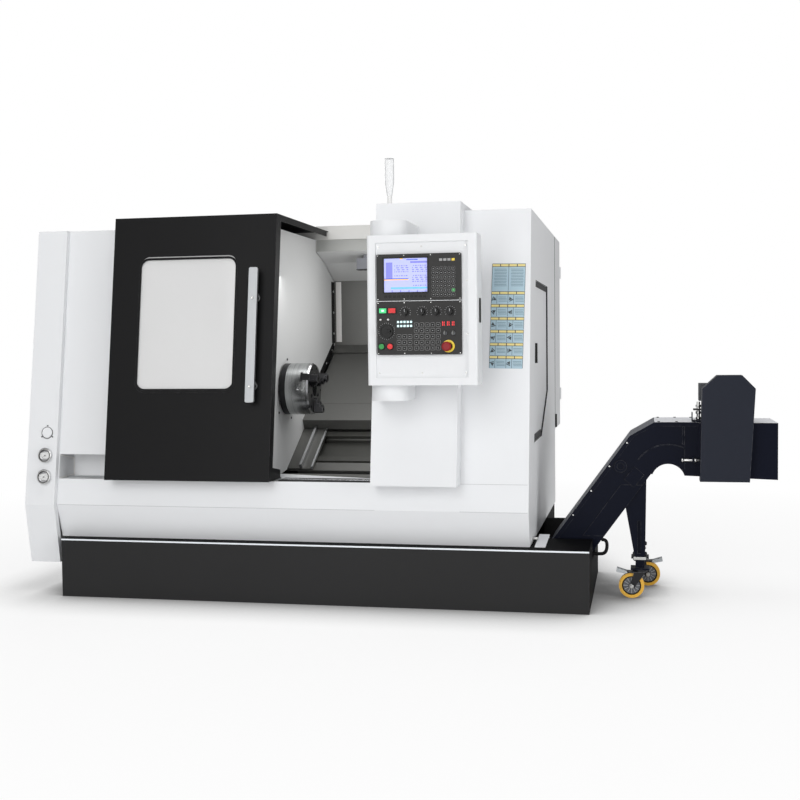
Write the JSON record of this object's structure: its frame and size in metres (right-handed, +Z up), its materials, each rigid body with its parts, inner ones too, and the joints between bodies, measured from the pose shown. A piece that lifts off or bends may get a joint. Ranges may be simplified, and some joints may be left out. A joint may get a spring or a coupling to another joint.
{
  "type": "cnc turning lathe",
  "caption": "Enclosed slant-bed turning lathe with sliding door, three-jaw chuck, tool turret, tailstock, swivelling control pendant and hinged-belt chip conveyor on casters.",
  "frame": {"origin": "on the floor under the middle of the base", "axes": "+X along the spindle towards the tailstock and the chip conveyor, +Y to the rear, +Z up"},
  "size_m": [3.512, 2.332, 2.062],
  "materials": {
    "white_paint": "satin off-white powder coat",
    "cabinet_paint": "satin light grey powder coat",
    "inner_paint": "pale grey oil-proof paint",
    "base_paint": "charcoal textured paint",
    "machine_grey": "painted casting",
    "ground_steel": "ground",
    "turret_steel": "ground and oiled",
    "chuck_steel": "turned, bright",
    "black_steel": "black oxide",
    "guard_steel": "dark stainless sheet",
    "motor_paint": "dark grey paint",
    "belt_rubber": "matte",
    "lamp_black": "satin black",
    "clear_plastic": "clear moulded",
    "gauge_chrome": "polished",
    "conveyor_paint": "gloss blue-black paint",
    "door_black": "satin black",
    "window_glass": "laminated safety glass",
    "handle_aluminium": "brushed",
    "panel_plastic": "fine texture",
    "estop_red": "moulded",
    "green_plastic": "moulded, lit",
    "red_plastic": "moulded",
    "knob_black": "moulded",
    "fork_black": "satin black",
    "tyre_yellow": "cast polyurethane"
  },
  "bodies": {
    "frame": {"left_cover": "white_paint", "right_cover": "white_paint", "apron": "white_paint", "roof_cover": "white_paint", "pillar": "white_paint", "side_hatch": "white_paint", "cabinet": "cabinet_paint", "end_walls": "inner_paint", "base_tank": "base_paint", "bed": "machine_grey", "headstock": "machine_grey", "spindle_bearings": "ground_steel", "way_rails": "ground_steel", "conveyor_belt": "ground_steel", "back_guard": "guard_steel", "spindle_motor": "motor_paint", "drive_belt": "belt_rubber", "work_lamp": "lamp_black", "signal_light": "clear_plastic", "gauges": "gauge_chrome", "conveyor_trough": "conveyor_paint", "conveyor_head": "conveyor_paint", "conveyor_lid": "conveyor_paint", "chain_guard": "conveyor_paint", "conveyor_motor": "conveyor_paint"},
    "door": {"door_shell": "door_black", "door_window": "window_glass", "door_handle": "handle_aluminium"},
    "pendant": {"pendant_case": "white_paint", "display_unit": "panel_plastic", "operator_panel": "panel_plastic"},
    "estop": {"estop": "estop_red"},
    "start_button": {"start_button": "green_plastic"},
    "stop_button": {"stop_button": "red_plastic"},
    "power_on_button": {"power_on_button": "green_plastic"},
    "power_off_button": {"power_off_button": "red_plastic"},
    "mode_knob": {"mode_knob": "knob_black"},
    "feed_knob": {"feed_knob": "knob_black"},
    "rapid_knob": {"rapid_knob": "knob_black"},
    "speed_knob": {"speed_knob": "knob_black"},
    "handwheel": {"handwheel": "knob_black"},
    "spindle": {"spindle": "black_steel", "chuck": "chuck_steel"},
    "jaw_1": {"jaw_1": "black_steel"},
    "jaw_2": {"jaw_2": "black_steel"},
    "jaw_3": {"jaw_3": "black_steel"},
    "motor_pulley": {"motor_pulley": "ground_steel"},
    "z_screw": {"z_screw": "ground_steel"},
    "carriage": {"saddle": "machine_grey", "way_cover": "guard_steel"},
    "cross_slide": {"cross_slide": "machine_grey"},
    "turret": {"turret_disc": "turret_steel"},
    "tailstock": {"tailstock": "machine_grey"},
    "quill": {"quill": "ground_steel"},
    "cabinet_door": {"cabinet_door": "cabinet_paint"},
    "drive_shaft": {"drive_shaft": "ground_steel"},
    "caster_near": {"caster_fork_near": "fork_black"},
    "caster_far": {"caster_fork_far": "fork_black"},
    "wheel_near": {"caster_wheel_near": "tyre_yellow"},
    "wheel_far": {"caster_wheel_far": "tyre_yellow"}
  },
  "joints": [
    {"name": "door_slide", "type": "slide", "parent": "frame", "child": "door", "axis": [1, 0, 0], "range_m": [0, 0.47]},
    {"name": "pendant_swivel", "type": "hinge", "parent": "frame", "child": "pendant", "pos_m": [0.402, -0.91, 1.3], "axis": [0, 0, 1], "range_deg": [-90, 0]},
    {"name": "estop_push", "type": "slide", "parent": "pendant", "child": "estop", "axis": [0, 1, 0], "range_m": [0, 0.004]},
    {"name": "start_push", "type": "slide", "parent": "pendant", "child": "start_button", "axis": [0, 1, 0], "range_m": [0, 0.003], "stiffness_N_per_m": 400},
    {"name": "stop_push", "type": "slide", "parent": "pendant", "child": "stop_button", "axis": [0, 1, 0], "range_m": [0, 0.003], "stiffness_N_per_m": 400},
    {"name": "power_on_push", "type": "slide", "parent": "pendant", "child": "power_on_button", "axis": [0, 1, 0], "range_m": [0, 0.003], "stiffness_N_per_m": 400},
    {"name": "power_off_push", "type": "slide", "parent": "pendant", "child": "power_off_button", "axis": [0, 1, 0], "range_m": [0, 0.003], "stiffness_N_per_m": 400},
    {"name": "mode_turn", "type": "hinge", "parent": "pendant", "child": "mode_knob", "pos_m": [0.493, -1.03, 1.325], "axis": [0, -1, 0], "range_deg": [-120, 120]},
    {"name": "feed_turn", "type": "hinge", "parent": "pendant", "child": "feed_knob", "pos_m": [0.566, -1.03, 1.325], "axis": [0, -1, 0], "range_deg": [-120, 120]},
    {"name": "rapid_turn", "type": "hinge", "parent": "pendant", "child": "rapid_knob", "pos_m": [0.626, -1.03, 1.325], "axis": [0, -1, 0], "range_deg": [-120, 120]},
    {"name": "speed_turn", "type": "hinge", "parent": "pendant", "child": "speed_knob", "pos_m": [0.686, -1.03, 1.325], "axis": [0, -1, 0], "range_deg": [-120, 120]},
    {"name": "handwheel_turn", "type": "hinge", "parent": "pendant", "child": "handwheel", "pos_m": [0.411, -1.03, 1.245], "axis": [0, -1, 0], "continuous": true},
    {"name": "spindle_spin", "type": "hinge", "parent": "frame", "child": "spindle", "pos_m": [-0.65, -0.31, 0.975], "axis": [1, 0, 0], "continuous": true},
    {"name": "jaw_1_slide", "type": "slide", "parent": "spindle", "child": "jaw_1", "axis": [0, 0.866, 0.5], "range_m": [-0.004, 0.004]},
    {"name": "jaw_2_slide", "type": "slide", "parent": "spindle", "child": "jaw_2", "axis": [0, -0.866, 0.5], "range_m": [-0.004, 0.004]},
    {"name": "jaw_3_slide", "type": "slide", "parent": "spindle", "child": "jaw_3", "axis": [0, 0, -1], "range_m": [-0.004, 0.004]},
    {"name": "motor_spin", "type": "hinge", "parent": "frame", "child": "motor_pulley", "pos_m": [-0.98, 0.17, 0.56], "axis": [1, 0, 0], "continuous": true},
    {"name": "z_screw_spin", "type": "hinge", "parent": "frame", "child": "z_screw", "pos_m": [0.25, 0.39007, 0.94271], "axis": [1, 0, 0], "continuous": true},
    {"name": "carriage_slide", "type": "slide", "parent": "frame", "child": "carriage", "axis": [-1, 0, 0], "range_m": [0, 0.5]},
    {"name": "cross_slide_feed", "type": "slide", "parent": "carriage", "child": "cross_slide", "axis": [0, 0.866, 0.5], "range_m": [-0.19, 0]},
    {"name": "turret_index", "type": "hinge", "parent": "cross_slide", "child": "turret", "pos_m": [0.38, 0.05404, 1.18518], "axis": [1, 0, 0], "continuous": true},
    {"name": "tailstock_slide", "type": "slide", "parent": "frame", "child": "tailstock", "axis": [-1, 0, 0], "range_m": [0, 0.35]},
    {"name": "quill_slide", "type": "slide", "parent": "tailstock", "child": "quill", "axis": [-1, 0, 0], "range_m": [0, 0.1]},
    {"name": "cabinet_door_swing", "type": "hinge", "parent": "frame", "child": "cabinet_door", "pos_m": [0.9875, 1.2755, 1.2], "axis": [0, 0, 1], "range_deg": [-110, 0]},
    {"name": "drive_shaft_spin", "type": "hinge", "parent": "frame", "child": "drive_shaft", "pos_m": [1.855, -0.24, 0.72], "axis": [0, 1, 0], "continuous": true},
    {"name": "caster_near_swivel", "type": "hinge", "parent": "frame", "child": "caster_near", "pos_m": [1.465, -0.388, 0.11], "axis": [0, 0, 1], "continuous": true},
    {"name": "wheel_near_spin", "type": "hinge", "parent": "caster_near", "child": "wheel_near", "pos_m": [1.427, -0.388, 0.058], "axis": [0, 1, 0], "continuous": true},
    {"name": "caster_far_swivel", "type": "hinge", "parent": "frame", "child": "caster_far", "pos_m": [1.465, -0.092, 0.11], "axis": [0, 0, 1], "continuous": true},
    {"name": "wheel_far_spin", "type": "hinge", "parent": "caster_far", "child": "wheel_far", "pos_m": [1.503, -0.092, 0.058], "axis": [0, 1, 0], "continuous": true}
  ],
  "couplings": [
    {"joint": "jaw_2_slide", "follows": "jaw_1_slide", "ratio": 1},
    {"joint": "jaw_3_slide", "follows": "jaw_1_slide", "ratio": 1},
    {"joint": "motor_spin", "follows": "spindle_spin", "ratio": 1.5714},
    {"joint": "z_screw_spin", "follows": "carriage_slide", "rad_per_m": 628.32}
  ]
}
